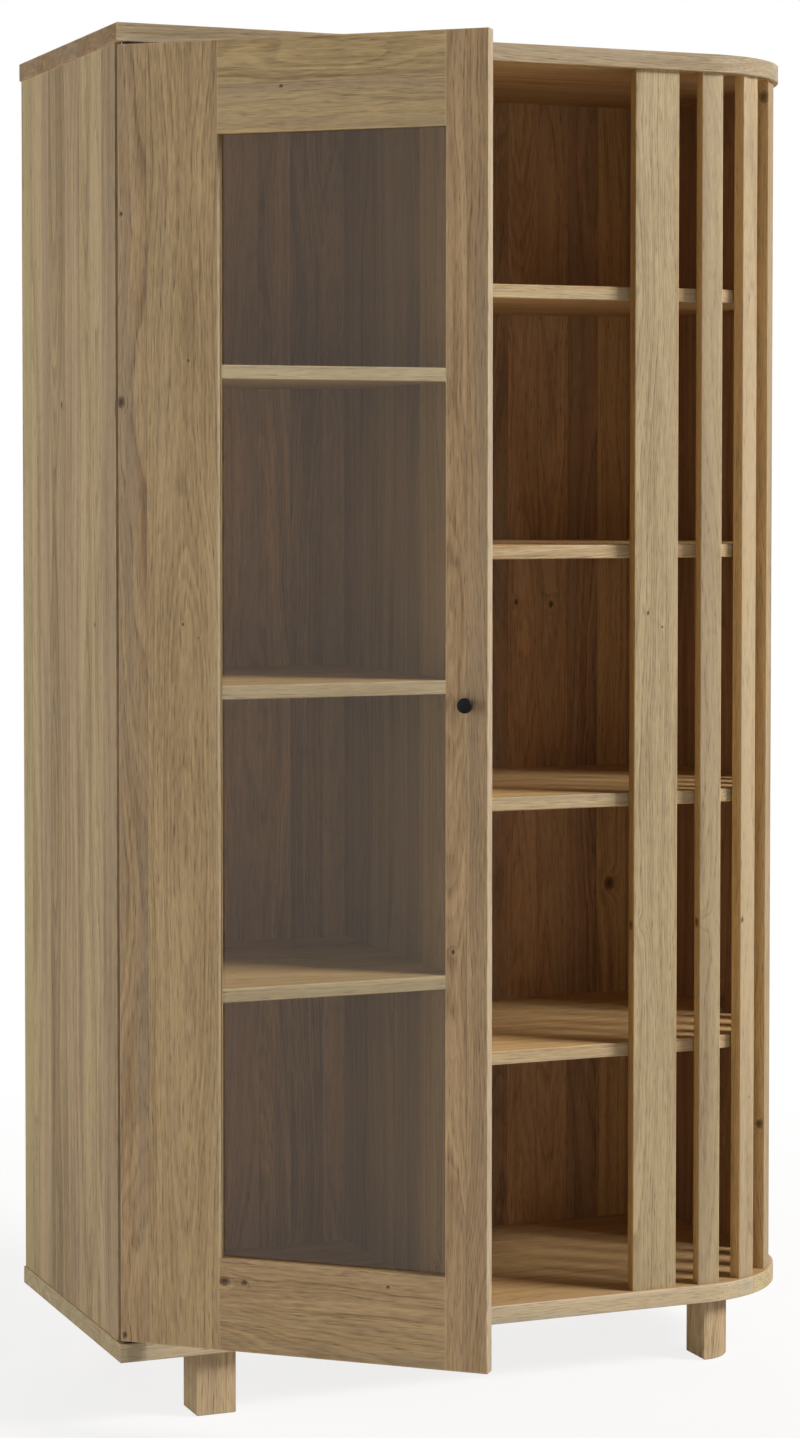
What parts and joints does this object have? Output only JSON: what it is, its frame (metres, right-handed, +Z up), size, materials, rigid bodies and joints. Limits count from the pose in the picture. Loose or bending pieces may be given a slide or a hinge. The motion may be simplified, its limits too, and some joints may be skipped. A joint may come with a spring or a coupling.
{
  "type": "bookcase",
  "caption": "Oak bookcase on short legs with one rounded front corner, a framed smoked-glass door ajar on pivot hinges, and open shelves behind a curved screen of upright slats.",
  "frame": {"origin": "on the floor, under the centre of the top panel's outline", "axes": "+Z up, -Y out of the front, +X to the right as seen from the front"},
  "size_m": [1, 0.7583, 1.77],
  "materials": {
    "black_knob": "satin black",
    "blackened_steel": "satin black",
    "felt": "felt",
    "glide_plastic": "matte",
    "oak_back": "satin, clear oiled",
    "oak_beads": "satin, clear oiled",
    "oak_door_rails": "satin, clear oiled",
    "oak_door_stiles": "satin, clear oiled",
    "oak_legs": "satin, clear oiled",
    "oak_panels": "satin, clear oiled",
    "oak_shelves": "satin, clear oiled",
    "oak_sides": "satin, clear oiled",
    "oak_slats": "satin, clear oiled",
    "pale_tenons": "plain",
    "smoked_glass": "smoked, clear",
    "steel": "zinc plated"
  },
  "bodies": {
    "case": {"back_panel": "oak_back", "bottom_panel": "oak_panels", "corner_slat_1": "oak_slats", "corner_slat_2": "oak_slats", "corner_slat_3": "oak_slats", "corner_slat_4": "oak_slats", "divider": "oak_sides", "door_magnet": "steel", "felt_pads": "felt", "front_left_glide": "glide_plastic", "front_left_leg": "oak_legs", "front_right_glide": "glide_plastic", "front_right_leg": "oak_legs", "left_shelf_1": "oak_shelves", "left_shelf_2": "oak_shelves", "left_shelf_3": "oak_shelves", "left_side": "oak_sides", "leg_bolts": "steel", "loose_tenons": "pale_tenons", "lower_hinge_plate": "blackened_steel", "lower_pivot_pin": "blackened_steel", "rear_left_glide": "glide_plastic", "rear_left_leg": "oak_legs", "rear_right_glide": "glide_plastic", "rear_right_leg": "oak_legs", "right_shelf_1": "oak_shelves", "right_shelf_2": "oak_shelves", "right_shelf_3": "oak_shelves", "right_shelf_4": "oak_shelves", "right_side": "oak_sides", "top_panel": "oak_panels", "upper_hinge_plate": "blackened_steel", "upper_pivot_pin": "blackened_steel", "wide_slat": "oak_slats"},
    "door": {"hinge_stile": "oak_door_stiles", "handle_stile": "oak_door_stiles", "top_rail": "oak_door_rails", "bottom_rail": "oak_door_rails", "rail_tenons": "pale_tenons", "glass_pane": "smoked_glass", "left_bead": "oak_beads", "right_bead": "oak_beads", "top_bead": "oak_beads", "bottom_bead": "oak_beads", "lower_door_plate": "blackened_steel", "upper_door_plate": "blackened_steel", "knob": "black_knob", "knob_screw": "steel", "strike_disc": "steel"}
  },
  "joints": [
    {"name": "door_hinge", "type": "hinge", "parent": "case", "child": "door", "pos_m": [-0.4895, -0.219, 0.11], "axis": [0, 0, -1], "range_deg": [-40.5, 69.5]}
  ]
}
